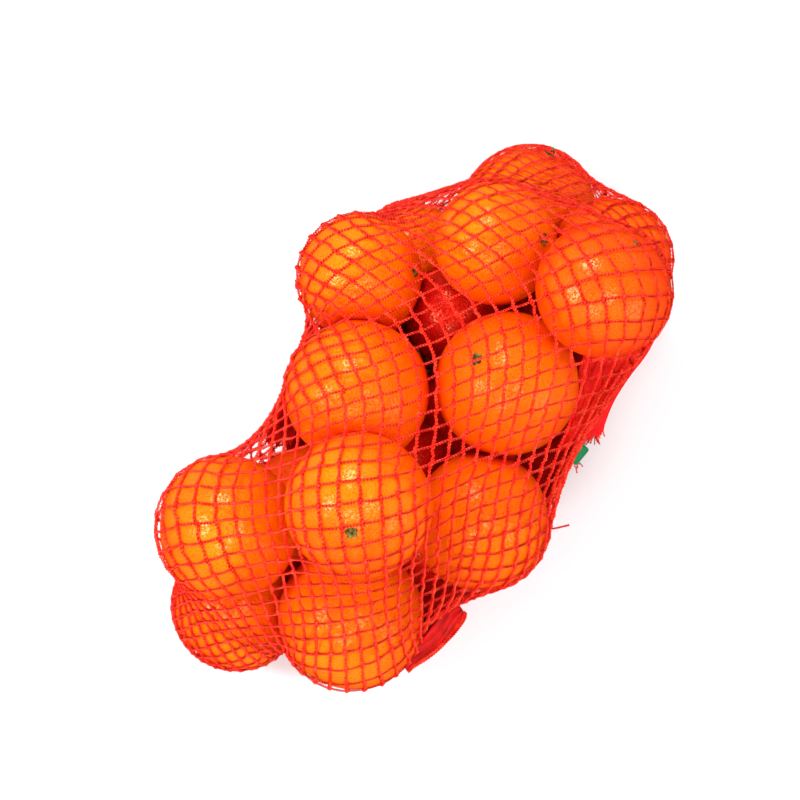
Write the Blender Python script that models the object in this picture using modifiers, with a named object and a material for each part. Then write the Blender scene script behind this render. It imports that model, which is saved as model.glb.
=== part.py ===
"""A net of oranges lying on its side: the filled net, its two gathered ends and a clip.

Units are metres with +Z up. The bag lies along X with its shown side up and its two
gathered ends on the -Y side. The origin is on the surface that it lies on, below the
middle of its outline. The filled net is one lumpy solid, drawn tight round the fruit.
"""

import bpy
import bmesh
import numpy as np
from mathutils import Vector

MM = 0.001

# Driving dimensions ---------------------------------------------------------

# Each orange, from the lowest to the highest: place along the bag, place across it
# and diameter, in millimetres.
FRUIT_MM = (
    # lowest layer, on the table
    (124, 19, 70),
    (68, 52, 56),
    (-130, 5, 66),
    (26, -28, 72),
    (-38, -45, 68),
    (-68, 10, 64),
    (91, -37, 64),
    (-2, 32, 68),
    # second layer
    (132, -28, 63),
    (42, 65, 65),
    (100, 23, 64),
    (-96, -44, 75),
    (-15, -63, 71),
    (-101, 34, 74),
    (-5, 28, 74),
    (48, -28, 74),
    # the two on top
    (116, -35, 70),
    (-49, -10, 75),
)
PRESS = 4 * MM               # how far two touching oranges press into each other
NET_OFFSET = 1.4 * MM        # the outside of the net stands this far off the fruit

BAG_MIDDLE = np.array((0, -5, 70)) * MM          # the net is drawn in towards this
EGG_HALF_AXES = np.array((200, 130, 120)) * MM    # the egg shape that it starts from
SKIN_SUBDIVISIONS = 5        # of the icosphere: 2562 points
SKIN_ROUNDS = 1500           # rounds of drawing the net tight
# The net is drawn in at a waist on +Y and at its clip on -Y, each an upright round
# hollow on plan: place along the bag, place across it and radius, in millimetres.
HOLLOWS_MM = ((-45, 125, 72), (47, -136.5, 60))
TINY = 1e-9                  # keeps a division from meeting nought

CLEARANCE = 0.4 * MM         # between the filled net and what lies against it

# The two gathered ends are pleated bands. A band's width stands up, leaning out by an
# angle, and its pleats are ripples on its oval section.
BAND_SECTIONS = 9
BAND_POINTS_ROUND = 40
RIPPLE_DEPTH = 0.10          # as a share of the section's radius
RIPPLE_TURN = 1.5            # radians that the pleats turn from end to end

# The neck: the net's upper end, with its cut end last.
NECK_START = (108 * MM, -67 * MM, 92 * MM)
NECK_END = (52 * MM, -77.5 * MM, 88 * MM)
NECK_WIDTHS = (46 * MM, 26 * MM)
NECK_THICKNESSES = (9 * MM, 7 * MM)
NECK_LEAN = np.radians(8)
NECK_PLEATS = 9

# The seam: the net's lower end, folded over into a flat crimped strip.
SEAM_START = (-99 * MM, -83 * MM, 66 * MM)
SEAM_END = (-52 * MM, -86 * MM, 72 * MM)
SEAM_WIDTHS = (9 * MM, 16 * MM)
SEAM_THICKNESSES = (4 * MM, 5 * MM)
SEAM_LEAN = np.radians(45)
SEAM_PLEATS = 4

# The clip that pinches the neck.
CLIP_CENTRE = (44 * MM, -79.5 * MM, 92 * MM)
CLIP_SIZE = (11 * MM, 6 * MM, 17 * MM)
CLIP_BEVEL = 1.2 * MM
BEVEL_SEGMENTS = 2

ORANGE = (0.95, 0.28, 0.01)
NET_RED = (0.72, 0.02, 0.02)
CLIP_GREEN = (0.0, 0.30, 0.08)
SATIN = 0.4                  # roughness


def clear_scene():
    """Remove the objects of the open file."""
    for existing in list(bpy.data.objects):
        bpy.data.objects.remove(existing, do_unlink=True)


def new_collection(name):
    """A collection linked to the scene."""
    collection = bpy.data.collections.new(name)
    bpy.context.scene.collection.children.link(collection)
    return collection


def plain_material(name, colour):
    """A satin finish in one colour."""
    material = bpy.data.materials.new(name)
    material.use_nodes = True
    shader = material.node_tree.nodes["Principled BSDF"]
    shader.inputs["Base Color"].default_value = (*colour, 1.0)
    shader.inputs["Roughness"].default_value = SATIN
    return material


def add_object(name, mesh, material, collection):
    """Put a mesh into the scene as one named sub-part."""
    thing = bpy.data.objects.new(name, mesh)
    mesh.materials.append(material)
    collection.objects.link(thing)
    return thing


def fruit_table():
    """The oranges as rows of x, y, z and radius, each let down until something holds it.

    An orange comes to rest on the table or on a lower orange. Where two centres may
    come as near as s and stand d apart seen from above, the upper centre is higher by
    the root of s squared less d squared.
    """
    rows = []
    for x_mm, y_mm, diameter_mm in FRUIT_MM:
        x, y, radius = x_mm * MM, y_mm * MM, diameter_mm * MM / 2
        height = radius
        for other_x, other_y, other_z, other_radius in rows:
            nearest = radius + other_radius - PRESS
            apart = np.hypot(x - other_x, y - other_y)
            if apart < nearest:
                height = max(height, other_z + np.sqrt(nearest ** 2 - apart ** 2))
        rows.append((x, y, height, radius))
    return np.array(rows)


def reach_of_fruit(rays, fruit):
    """How far the net must stay out along each ray from the bag's middle.

    A ray leaves a ball at b plus the root of b squared less c, where b is the ray's
    share of the way to the ball's centre, and c the squared way less the squared
    radius. The furthest of these over all the oranges counts.
    """
    reach = np.zeros(len(rays))
    for x, y, z, radius in fruit:
        to_centre = np.array((x, y, z)) - BAG_MIDDLE
        b = rays @ to_centre
        under_root = b ** 2 - to_centre @ to_centre + (radius + NET_OFFSET) ** 2
        leaves = np.where(under_root > 0, b + np.sqrt(np.maximum(under_root, 0)), 0)
        reach = np.maximum(reach, leaves)
    return reach


def reach_of_hollows(rays):
    """How far each ray goes before it meets one of the two round hollows.

    On plan a ray meets a circle at b less the root of b squared less c, over the ray's
    own flat length. A ray that misses both circles goes on without end.
    """
    flat_length = np.maximum(np.linalg.norm(rays[:, :2], axis=1), TINY)
    reach = np.full(len(rays), np.inf)
    for x, y, radius in np.array(HOLLOWS_MM) * MM:
        to_centre = np.array((x, y)) - BAG_MIDDLE[:2]
        b = rays[:, :2] @ to_centre / flat_length
        under_root = b ** 2 - to_centre @ to_centre + radius ** 2
        meets = (under_root > 0) & (b > 0)
        enters = (b - np.sqrt(np.maximum(under_root, 0))) / flat_length
        reach = np.where(meets, np.minimum(reach, enters), reach)
    return reach


def reach_of_table(rays):
    """How far each ray goes before it meets the table."""
    return np.where(rays[:, 2] < 0, BAG_MIDDLE[2] / np.maximum(-rays[:, 2], TINY), np.inf)


def draw_tight(rays, lengths, pairs, fruit):
    """Pull a closed skin tight round the fruit and keep it above the table.

    Each point slides on its own ray from the bag's middle. Each round moves it to the
    mean place of its neighbours, but never into an orange, a hollow or the table.
    """
    least = reach_of_fruit(rays, fruit)
    table = reach_of_table(rays)
    most = np.minimum(table, np.maximum(reach_of_hollows(rays), least))
    start, end = pairs[:, 0], pairs[:, 1]
    neighbours = np.bincount(pairs.ravel(), minlength=len(rays))
    for _ in range(SKIN_ROUNDS):
        points = rays * lengths[:, None]
        total = np.zeros_like(points)
        for axis in range(3):
            total[:, axis] = (
                np.bincount(start, points[end, axis], len(rays))
                + np.bincount(end, points[start, axis], len(rays)))
        lengths = np.einsum("ij,ij->i", total, rays) / neighbours
        lengths = np.minimum(np.maximum(lengths, least), most)
    points = rays * lengths[:, None] + BAG_MIDDLE
    points[lengths >= table, 2] = 0
    return points


def filled_net_mesh(fruit):
    """The outside of the filled net: an egg shape drawn in onto the fruit."""
    ball = bmesh.new()
    bmesh.ops.create_icosphere(ball, subdivisions=SKIN_SUBDIVISIONS, radius=1.0)
    mesh = bpy.data.meshes.new("filled_net")
    ball.to_mesh(mesh)
    ball.free()

    flat = np.empty(len(mesh.vertices) * 3)
    mesh.vertices.foreach_get("co", flat)
    egg = flat.reshape(-1, 3) * EGG_HALF_AXES
    lengths = np.linalg.norm(egg, axis=1)

    pairs = np.empty(len(mesh.edges) * 2, dtype=int)
    mesh.edges.foreach_get("vertices", pairs)
    points = draw_tight(egg / lengths[:, None], lengths, pairs.reshape(-1, 2), fruit)

    mesh.vertices.foreach_set("co", points.ravel())
    mesh.update()
    mesh.shade_smooth()
    return mesh


def grown_copy(mesh, distance):
    """A copy of a mesh with each point moved outwards along its normal."""
    grown = mesh.copy()
    for vertex, source in zip(grown.vertices, mesh.vertices):
        vertex.co = source.co + source.normal * distance
    grown.update()
    return grown


def pleated_band_mesh(name, start, end, widths, thicknesses, lean, pleats):
    """A flat gathered band: pleated oval sections lofted along a straight line.

    A section's long half axis stands up and its short one faces out, both turned by
    the lean. The pleats are a cosine of the angle round the section, added to its
    radius.
    """
    start, end = np.array(start), np.array(end)
    along = (end - start) / np.linalg.norm(end - start)
    up = np.array((0.0, 0.0, 1.0))
    up -= along * up.dot(along)
    up /= np.linalg.norm(up)
    out = np.cross(up, along)
    leaning_up = np.cos(lean) * up - np.sin(lean) * out
    leaning_out = np.cos(lean) * out + np.sin(lean) * up

    share = np.linspace(0, 1, BAND_SECTIONS)[:, None]
    angle = np.linspace(0, 2 * np.pi, BAND_POINTS_ROUND, endpoint=False)[None, :]
    ripple = 1 + RIPPLE_DEPTH * np.cos(pleats * angle + RIPPLE_TURN * share)
    half_width = (widths[0] + (widths[1] - widths[0]) * share) / 2
    half_thickness = (thicknesses[0] + (thicknesses[1] - thicknesses[0]) * share) / 2
    middle = start + (end - start) * share[..., None]
    points = (middle
              + (half_width * ripple * np.cos(angle))[..., None] * leaning_up
              + (half_thickness * ripple * np.sin(angle))[..., None] * leaning_out)

    band = bmesh.new()
    rings = [[band.verts.new(point) for point in ring] for ring in points]
    for lower, upper in zip(rings, rings[1:]):
        for i in range(BAND_POINTS_ROUND):
            j = (i + 1) % BAND_POINTS_ROUND
            band.faces.new((lower[i], lower[j], upper[j], upper[i]))
    for ring in (rings[0], rings[-1]):
        middle = sum((vertex.co for vertex in ring), Vector()) / BAND_POINTS_ROUND
        centre = band.verts.new(middle)
        for i in range(BAND_POINTS_ROUND):
            band.faces.new((ring[i], ring[(i + 1) % BAND_POINTS_ROUND], centre))
    bmesh.ops.recalc_face_normals(band, faces=band.faces)
    mesh = bpy.data.meshes.new(name)
    band.to_mesh(mesh)
    band.free()
    return mesh


def cut_clear_of(thing, cutter):
    """Take the cutter's shape out of a sub-part."""
    cut = thing.modifiers.new("clear_of_" + cutter.name, "BOOLEAN")
    cut.operation = "DIFFERENCE"
    cut.solver = "EXACT"
    cut.object = cutter


def make_clip(material, collection):
    """A small block with rounded edges."""
    block = bmesh.new()
    bmesh.ops.create_cube(block, size=1.0)
    bmesh.ops.scale(block, vec=CLIP_SIZE, verts=block.verts)
    mesh = bpy.data.meshes.new("neck_clip")
    block.to_mesh(mesh)
    block.free()
    clip = add_object("neck_clip", mesh, material, collection)
    clip.location = CLIP_CENTRE
    rounding = clip.modifiers.new("rounded_edges", "BEVEL")
    rounding.width = CLIP_BEVEL
    rounding.segments = BEVEL_SEGMENTS
    return clip


def build():
    """Make every sub-part."""
    clear_scene()
    parts = new_collection("net_bag")
    cutters = new_collection("cutters")
    orange_peel = plain_material("orange_peel", ORANGE)
    net_plastic = plain_material("net_plastic", NET_RED)
    clip_plastic = plain_material("clip_plastic", CLIP_GREEN)

    filled_mesh = filled_net_mesh(fruit_table())
    add_object("filled_net", filled_mesh, orange_peel, parts)

    room = bpy.data.objects.new("room_for_net", grown_copy(filled_mesh, CLEARANCE))
    cutters.objects.link(room)
    room.hide_render = True
    room.display_type = "WIRE"

    neck_mesh = pleated_band_mesh(
        "neck_tail", NECK_START, NECK_END, NECK_WIDTHS, NECK_THICKNESSES, NECK_LEAN,
        NECK_PLEATS)
    neck = add_object("neck_tail", neck_mesh, net_plastic, parts)
    cut_clear_of(neck, room)

    seam_mesh = pleated_band_mesh(
        "seam_strip", SEAM_START, SEAM_END, SEAM_WIDTHS, SEAM_THICKNESSES, SEAM_LEAN,
        SEAM_PLEATS)
    seam = add_object("seam_strip", seam_mesh, net_plastic, parts)
    cut_clear_of(seam, room)

    clip = make_clip(clip_plastic, parts)
    cut_clear_of(clip, room)


build()
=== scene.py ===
# %% [markdown]
# # A net of oranges
#
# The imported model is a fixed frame: one lumpy solid for the filled net, two pleated bands for
# its gathered ends and a small clip. This script dresses that frame. The lumpy solid is
# replaced by what it stands for, loose oranges in a knitted net. The net is laid over the
# solid's own skin first and then drawn tight over the oranges, as the real one is.

import math

import bpy
import numpy as np
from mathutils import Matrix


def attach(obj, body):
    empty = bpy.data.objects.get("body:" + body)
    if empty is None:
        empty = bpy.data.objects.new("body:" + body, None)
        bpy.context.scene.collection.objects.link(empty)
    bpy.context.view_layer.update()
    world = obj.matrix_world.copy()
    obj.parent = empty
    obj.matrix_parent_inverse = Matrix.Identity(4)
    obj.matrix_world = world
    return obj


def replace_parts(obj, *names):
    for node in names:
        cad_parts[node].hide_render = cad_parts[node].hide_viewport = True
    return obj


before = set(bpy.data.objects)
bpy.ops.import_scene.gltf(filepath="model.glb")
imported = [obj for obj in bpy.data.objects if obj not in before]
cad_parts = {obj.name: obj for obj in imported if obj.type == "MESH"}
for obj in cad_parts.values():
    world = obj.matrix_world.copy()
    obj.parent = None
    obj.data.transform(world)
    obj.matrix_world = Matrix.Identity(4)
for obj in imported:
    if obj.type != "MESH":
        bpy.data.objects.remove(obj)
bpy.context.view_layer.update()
MM = 0.001
UP = np.array((0.0, 0.0, 1.0))
TINY = 1e-12

# %% [markdown]
# ## Mesh helpers
#
# Every new shape here is worked out as whole numpy arrays, so one helper turns an array of
# points and arrays of faces into a finished object at the origin. A loop over vertices would
# take minutes for a net of half a million triangles, and this takes a moment.


# %% One helper for every mesh
def new_piece(name, points, face_sets, material, slot_name):
    """An object from points (n, 3) and face arrays, each (m, corners), riding on the root."""
    mesh = bpy.data.meshes.new(name)
    mesh.vertices.add(len(points))
    mesh.vertices.foreach_set("co", np.asarray(points, np.float32).ravel())
    corners = np.concatenate([faces.ravel() for faces in face_sets])
    sizes = np.concatenate([np.full(len(faces), faces.shape[1]) for faces in face_sets])
    mesh.loops.add(len(corners))
    mesh.loops.foreach_set("vertex_index", corners.astype(np.int32))
    mesh.polygons.add(len(sizes))
    starts = np.concatenate([[0], np.cumsum(sizes)[:-1]])
    mesh.polygons.foreach_set("loop_start", starts.astype(np.int32))
    mesh.polygons.foreach_set("use_smooth", np.ones(len(sizes), bool))
    mesh.update(calc_edges=True)
    mesh.materials.append(material)
    piece = bpy.data.objects.new(name, mesh)
    bpy.context.scene.collection.objects.link(piece)
    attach(piece, "root")
    triangles = int((sizes - 2).sum())
    print(f"{name}: {triangles} triangles")
    return piece


def add_layer(piece, name, values):
    """One number per point, which a material can read."""
    layer = piece.data.attributes.new(name, "FLOAT", "POINT")
    layer.data.foreach_set("value", np.asarray(values, np.float32).ravel())


def unit(vectors):
    """Each vector over its own length."""
    length = np.sqrt((vectors ** 2).sum(-1, keepdims=True))
    return vectors / np.maximum(length, TINY)


def direction(azimuth, elevation):
    """The unit vector at an azimuth and an elevation in degrees."""
    a, e = math.radians(azimuth), math.radians(elevation)
    return np.array((math.cos(a) * math.cos(e), math.sin(a) * math.cos(e), math.sin(e)))


# %% [markdown]
# ## Where the oranges lie
#
# The oranges are the ones that the frame's lumpy solid was drawn round. Each row holds a
# place, a diameter and the way that the stem end points. The heights aren't in the table: an
# orange is let down until the table or lower oranges hold it, which is the same rule that
# the frame's solid was made with, so the fruit and the frame agree.

# %% The fruit table
# x, y and diameter in mm; azimuth and elevation of the stem end
FRUIT = (
    (124, 19, 70, 21, 13),
    (68, 52, 56, 60, -30),
    (-130, 5, 66, 170, -20),
    (26, -28, 72, -95, -10),
    (-38, -45, 68, -75, 15),
    (-68, 10, 64, 100, -20),
    (91, -37, 64, -60, -25),
    (-2, 32, 68, 95, 10),
    (58, 14, 52, 30, -40),
    (-14, -14, 42, -150, -40),
    (132, -28, 63, -20, -15),
    (42, 65, 65, -44, 22),
    (100, 23, 64, -46, 36),
    (-96, -44, 75, -120, -35),
    (-15, -63, 71, -70, -25),
    (-101, 34, 74, 130, -10),
    (-5, 28, 74, -92, -70),
    (48, -28, 74, 92, 54),
    (116, -35, 70, 5, 28),
    (-49, -10, 75, -155, 68),
)
PRESS = 4 * MM


def settle(rows):
    """Rows of x, y, z and radius: two oranges touch where their centres are the sum of
    their radii less PRESS apart, so the upper one is higher by the root of that squared
    less the distance on plan squared."""
    settled = []
    for x, y, diameter in rows:
        x, y, radius = x * MM, y * MM, diameter * MM / 2
        z = radius
        for other_x, other_y, other_z, other_radius in settled:
            reach = radius + other_radius - PRESS
            apart = math.hypot(x - other_x, y - other_y)
            if apart < reach:
                z = max(z, other_z + math.sqrt(reach ** 2 - apart ** 2))
        settled.append((x, y, z, radius))
    return np.array(settled)


fruit = settle([row[:3] for row in FRUIT])
centres, radii = fruit[:, :3], fruit[:, 3]
stems = np.array([direction(row[3], row[4]) for row in FRUIT])
print("highest orange reaches", round((centres[:, 2] + radii).max() / MM, 1), "mm")

# %% [markdown]
# ## Peel
#
# Orange peel is a waxy skin full of tiny oil glands. The glands are dimples about a
# millimetre apart, so the bump is a fine cell pattern with its pits pressed in, and a softer
# noise on top keeps it from looking like a golf ball. The colour wanders a little from a
# yellower to a redder orange over a few centimetres, as ripening does. On top of that the peel
# is painted redder and darker as painted shade: in the crevices between oranges, on the sides
# that turn from the sky, and most of all over the inner oranges, which are painted a deep red.


# %% Node helpers
def shader(name):
    """A new material, its node tree's adder and its Principled shader."""
    material = bpy.data.materials.new(name)
    material.use_nodes = True
    tree = material.node_tree
    principled = tree.nodes["Principled BSDF"]

    def add(kind, **settings):
        node = tree.nodes.new(kind)
        for key, value in settings.items():
            if hasattr(node, key):
                setattr(node, key, value)
            else:
                node.inputs[key.replace("_", " ").title()].default_value = value
        return node

    return material, add, tree.links.new, principled


def ramp(node, stops):
    """Set a Color Ramp's stops: pairs of position and linear colour."""
    elements = node.color_ramp.elements
    while len(elements) < len(stops):
        elements.new(0.5)
    for element, (position, colour) in zip(elements, stops):
        element.position = position
        element.color = (*colour, 1.0)


# %% The peel
PEEL_YELLOW = (1.0, 0.225, 0.0)
PEEL_ORANGE = (1.0, 0.170, 0.0)
PEEL_RED = (1.0, 0.120, 0.0)
# painted shade: the red that crevices and turned-away sides are mixed towards, which also makes
# some whole oranges a little redder, and the deep red of the inner oranges
PEEL_SHADE_AND_REDNESS = (0.95, 0.006, 0.0)
PEEL_DEEP_SHADE = (0.50, 0.003, 0.002)


def peel_material():
    material, add, link, principled = shader("orange_peel")
    place = add("ShaderNodeTexCoord")
    patches = add("ShaderNodeTexNoise", scale=22.0, detail=3.0)
    tint = add("ShaderNodeValToRGB")
    ramp(tint, ((0.3, PEEL_YELLOW), (0.52, PEEL_ORANGE), (0.74, PEEL_RED)))
    glands = add("ShaderNodeTexVoronoi", scale=850.0)
    rough_skin = add("ShaderNodeTexNoise", scale=320.0, detail=2.0)
    pits = add("ShaderNodeMapRange")
    pits.inputs["From Max"].default_value = 0.45
    both = add("ShaderNodeMath", operation="MULTIPLY_ADD")
    both.inputs[1].default_value = 0.7
    bump = add("ShaderNodeBump", strength=0.7, distance=0.0010)
    # painted shade: the tint is mixed towards a red by the layer read here, and towards a deep
    # red by its sixth power, which nearly only the inner oranges reach
    shade_and_redness = add("ShaderNodeAttribute", attribute_name="shade_and_redness")
    redder = add("ShaderNodeMix", data_type="RGBA")
    redder.inputs[7].default_value = (*PEEL_SHADE_AND_REDNESS, 1.0)
    hidden = add("ShaderNodeMath", operation="POWER")
    hidden.inputs[1].default_value = 6.0
    deeper = add("ShaderNodeMix", data_type="RGBA")
    deeper.inputs[7].default_value = (*PEEL_DEEP_SHADE, 1.0)
    link(shade_and_redness.outputs["Fac"], redder.inputs[0])
    link(tint.outputs["Color"], redder.inputs[6])
    link(shade_and_redness.outputs["Fac"], hidden.inputs[0])
    link(hidden.outputs["Value"], deeper.inputs[0])
    link(redder.outputs[2], deeper.inputs[6])
    for texture in (patches, glands, rough_skin):
        link(place.outputs["Object"], texture.inputs["Vector"])
    link(patches.outputs["Fac"], tint.inputs["Fac"])
    link(deeper.outputs[2], principled.inputs["Base Color"])
    link(glands.outputs["Distance"], pits.inputs["Value"])
    link(rough_skin.outputs["Fac"], both.inputs[0])
    link(pits.outputs["Result"], both.inputs[2])
    link(both.outputs["Value"], bump.inputs["Height"])
    link(bump.outputs["Normal"], principled.inputs["Normal"])
    principled.inputs["Roughness"].default_value = 0.24
    principled.inputs["Specular IOR Level"].default_value = 0.45
    principled.inputs["Specular Tint"].default_value = (1.0, 0.85, 0.45, 1.0)
    return material


peel = peel_material()

# %% [markdown]
# ## Oranges
#
# An orange isn't a ball. It is a little flat between its stem end and its blossom end, sinks
# in round the stem, has long soft undulations, and is pressed flat where it touches another
# orange or the table. Each one is a grid of directions round its own stem, pushed out to a
# radius that all these rules shape, so no two come out alike.

# %% One orange
RINGS, SEGMENTS = 56, 96
FLATTENING = 0.035           # how much shorter an orange is between its ends
PLUMPNESS = 1.01             # its middle, over the radius that the net is drawn to
DIMPLE_DEPTH = 0.035         # of the radius, round the stem
DIMPLE_WIDTH = 0.26          # radians
WAVES = 7                    # soft undulations, each a sine across the fruit
WAVE_DEPTH = 0.0035          # of the radius
TABLE_GAP = 1.7 * MM         # the fruit lies on the net, and the net on the table
TOUCH_GAP = 0.15 * MM
BLEND = 0.5 * MM             # how round the rim of a pressed spot is


def tangents(axis):
    """Two unit vectors at right angles to an axis and to each other."""
    side = unit(np.cross(axis, (0.31, 0.52, 0.79)))
    return side, np.cross(axis, side)


def sphere_grid(axis):
    """Directions in rings round an axis, first its two poles, then ring by ring."""
    side, other = tangents(axis)
    down = np.linspace(0, np.pi, RINGS + 2)[1:-1, None, None]
    turn = np.linspace(0, 2 * np.pi, SEGMENTS, endpoint=False)[None, :, None]
    rings = np.cos(down) * axis + np.sin(down) * (np.cos(turn) * side + np.sin(turn) * other)
    return np.concatenate([[axis], [-axis], rings.reshape(-1, 3)])


def sphere_faces():
    """Quads between neighbouring rings, and triangles round the two poles."""
    ring = np.arange(RINGS * SEGMENTS).reshape(RINGS, SEGMENTS) + 2
    after = np.roll(ring, -1, axis=1)
    quads = np.stack([ring[:-1], ring[1:], after[1:], after[:-1]], -1).reshape(-1, 4)
    top = np.stack([np.zeros(SEGMENTS, int), ring[0], after[0]], -1)
    bottom = np.stack([np.ones(SEGMENTS, int), after[-1], ring[-1]], -1)
    return [quads, top, bottom]


def smooth_least(a, b, width):
    """The lesser of two arrays, rounded off over a width where they are close."""
    near = np.maximum(width - np.abs(a - b), 0) / width
    return np.minimum(a, b) - near ** 2 * width / 4


def orange_points(k, rng):
    """Points of orange k: its ball, flattened, dimpled, undulated and pressed flat."""
    stem, radius = stems[k], radii[k]
    ways = sphere_grid(stem)
    lean = np.clip(ways @ stem, -1, 1)
    reach = PLUMPNESS * radius / np.sqrt(1 - lean ** 2 + (lean / (1 - FLATTENING)) ** 2)
    away = np.arccos(lean)
    reach -= radius * DIMPLE_DEPTH * np.exp(-(away / DIMPLE_WIDTH) ** 2)
    reach -= radius * 0.3 * DIMPLE_DEPTH * np.exp(-((np.pi - away) / DIMPLE_WIDTH) ** 2)
    for _ in range(WAVES):
        wave = unit(rng.normal(size=3)) * rng.uniform(2, 5)
        reach += radius * WAVE_DEPTH * np.sin(ways @ wave + rng.uniform(0, 6.3))
    for other in range(len(fruit)):
        between = centres[other] - centres[k]
        apart = np.linalg.norm(between)
        if other != k and apart < radius + radii[other]:
            plane = (apart ** 2 + radius ** 2 - radii[other] ** 2) / (2 * apart) - TOUCH_GAP
            facing = np.maximum(ways @ between / apart, TINY)
            reach = smooth_least(reach, plane / facing, BLEND)
    facing = np.maximum(-ways[:, 2], TINY)
    reach = smooth_least(reach, (centres[k, 2] - TABLE_GAP) / facing, BLEND)
    return centres[k] + ways * reach[:, None]


# painted shade on the peel, from 0 to 1 at each point: its reach into crevices, its share on the
# sides turned from the sky, and each orange's own
CREVICE_SHADE_REACH = 7 * MM
SIDE_SHADE = 0.30
# orange number and its own share: inner ones see only red light and are painted a deep shade,
# and the others are made a little redder each
OWN_SHADE_AND_REDNESS = {3: 0.97, 4: 0.90, 5: 0.50, 6: 0.97, 7: 0.97, 8: 0.97, 9: 0.97,
             10: 0.30, 11: 0.07, 13: 0.04, 14: 0.24, 15: 0.16, 16: 0.18, 17: 0.19, 18: 0.48,
             19: 0.12}


def shade_and_redness_at(k, points):
    """How red each point of orange k is, from 0 to 1: painted shade, and for the outer oranges a
    little redness of their own. Light that reaches a crevice or a low side has met red peel and
    red net on its way, so there the peel is painted redder and darker. The value is exp of minus
    the gap to the nearest other orange over a reach, plus a share that grows as the skin turns
    from the sky, and never less than the orange's own."""
    others = np.arange(len(fruit)) != k
    gap = np.sqrt(((points[:, None] - centres[others]) ** 2).sum(-1)) - radii[others]
    shade_and_redness = np.exp(-np.maximum(gap.min(1), 0) / CREVICE_SHADE_REACH)
    turned = 1 - unit(points - centres[k])[:, 2]
    own = OWN_SHADE_AND_REDNESS.get(k, 0.0)
    return np.clip(np.maximum(shade_and_redness, own) + SIDE_SHADE * np.minimum(turned, 1) ** 1.6, 0, 1)


rng = np.random.default_rng(7)
orange_faces = sphere_faces()
oranges = []
for k in range(len(fruit)):
    points = orange_points(k, rng)
    oranges.append(new_piece(f"orange_{k + 1:02d}", points, orange_faces, peel, "orange_peel"))
    add_layer(oranges[-1], "shade_and_redness", shade_and_redness_at(k, points))

# %% [markdown]
# ## Yarn
#
# The net is knitted from thin plastic yarn. Its chains run the length of the bag and thinner
# links join each chain to the next. Close up a yarn is two plies twisted together, and the
# twist is what catches the light as a row of ticks. The ticks are also painted into the yarn's
# colour, as painted shade and painted highlight that swing with each half turn. Each ply is a
# thin tube carried along a path and round it: at step n along the path its centre is off to one
# side by the ply's radius, turned by n over the number of steps in a turn. So a stretched yarn
# keeps its turns.


# %% Twisted yarn along many paths at once
def twisted(points, outwards, radius, turn_steps, sides, swell=None):
    """Two plies round each path: points and outwards are (paths, steps, 3).

    Returns the tube points, the faces, and each point's number of half turns along its
    path. The section's plane is square to the path, and its first axis is the outwards
    direction made square to the path.
    """
    along = unit(np.gradient(points, axis=1))
    first = unit(outwards - along * (outwards * along).sum(-1, keepdims=True))
    second = np.cross(along, first)
    paths, steps = points.shape[:2]
    turn = np.broadcast_to(2 * np.pi * np.arange(steps) / turn_steps, (paths, steps))
    size = radius * (np.ones((paths, steps)) if swell is None else swell)
    corner = 2 * np.pi * np.arange(sides) / sides
    tubes = []
    for ply in (0.0, np.pi):
        spin = (turn + ply)[..., None, None]
        middle = (points[:, :, None] + size[..., None, None]
                  * (np.cos(spin) * first[:, :, None] + np.sin(spin) * second[:, :, None]))
        edge = corner[None, None, :, None] + spin
        ring = np.cos(edge) * first[:, :, None] + np.sin(edge) * second[:, :, None]
        tubes.append(middle + size[..., None, None] * ring)
    points_out = np.stack(tubes)                      # plies, paths, steps, sides, 3
    index = np.arange(2 * paths * steps * sides).reshape(2 * paths, steps, sides)
    after = np.roll(index, -1, axis=2)
    walls = np.stack([index[:, :-1], after[:, :-1], after[:, 1:], index[:, 1:]], -1)
    caps = np.concatenate([index[:, 0, ::-1], index[:, -1]])
    halves = np.broadcast_to((turn / np.pi)[None, :, :, None], points_out.shape[:-1])
    return points_out.reshape(-1, 3), [walls.reshape(-1, 4), caps], halves.ravel()


def joined(parts):
    """Several (points, faces, numbers) results as one."""
    points, quads, caps, numbers, count = [], [], [], [], 0
    for part_points, (part_quads, part_caps), part_numbers in parts:
        points.append(part_points)
        quads.append(part_quads + count)
        caps.append(part_caps + count)
        numbers.append(part_numbers)
        count += len(part_points)
    return (np.concatenate(points), [np.concatenate(quads), np.concatenate(caps)],
            np.concatenate(numbers))


def yarn_piece(name, yarn, material, node):
    """A piece of yarn that stands in for a node of the frame."""
    points, faces, halves = yarn
    piece = new_piece(name, points, faces, material, "net_plastic")
    add_layer(piece, "half_turns", halves)
    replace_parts(piece, node)


SLOPE_LIMIT = 1.4


def rounded(nodes, steps):
    """A smooth path through nodes (n, 3): on each stretch a cubic whose slope at a node
    is half the way between its two neighbours. Beside a short stretch the slope is cut to
    SLOPE_LIMIT times that stretch, or the path would loop."""
    before = np.concatenate([nodes[:1] * 2 - nodes[1:2], nodes[:-1]])
    behind = np.concatenate([nodes[1:], nodes[-1:] * 2 - nodes[-2:-1]])
    slope = (behind - before) / 2
    room = np.minimum(np.linalg.norm(behind - nodes, axis=1),
                      np.linalg.norm(nodes - before, axis=1))
    size = np.maximum(np.linalg.norm(slope, axis=1), TINY)
    slope = slope * np.minimum(SLOPE_LIMIT * room / size, 1)[:, None]
    t = (np.arange(steps) / steps)[None, :, None]
    a, b, sa, sb = (v[:, None] for v in (nodes[:-1], nodes[1:], slope[:-1], slope[1:]))
    path = ((2 * t ** 3 - 3 * t ** 2 + 1) * a + (t ** 3 - 2 * t ** 2 + t) * sa
            + (3 * t ** 2 - 2 * t ** 3) * b + (t ** 3 - t ** 2) * sb)
    return np.concatenate([path.reshape(-1, 3), nodes[-1:]])


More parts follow.
